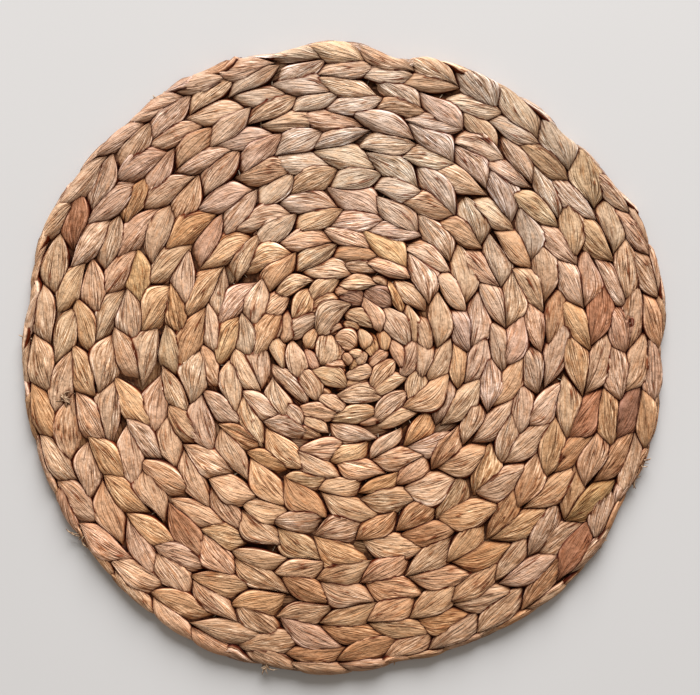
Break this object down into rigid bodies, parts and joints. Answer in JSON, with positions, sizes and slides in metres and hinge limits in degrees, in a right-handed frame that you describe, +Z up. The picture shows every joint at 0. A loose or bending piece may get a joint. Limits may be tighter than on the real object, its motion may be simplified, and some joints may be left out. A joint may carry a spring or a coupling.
{
  "type": "round plaited placemat",
  "caption": "Round flat table mat: one thick plait of flattened dried plant stems, coiled into a disc and sewn turn to turn, to set a plate or hot dish on.",
  "frame": {"origin": "middle of the mat's bounding box, on the flat underside that lies on the table", "axes": "+Z up through the mat's thickness; +X and +Y in the plane of the mat; seen from +Z the coil winds inwards clockwise, and the plait's outer end is tucked in at the rim between +X and +Y"},
  "size_m": [0.3806, 0.373, 0.01],
  "materials": {
    "plait": "dry matt plant stems with a faint silky sheen, tan with greyer, pinker and golden stretches"
  },
  "bodies": {
    "root": {"plaited_coil": "plait"}
  },
  "joints": []
}
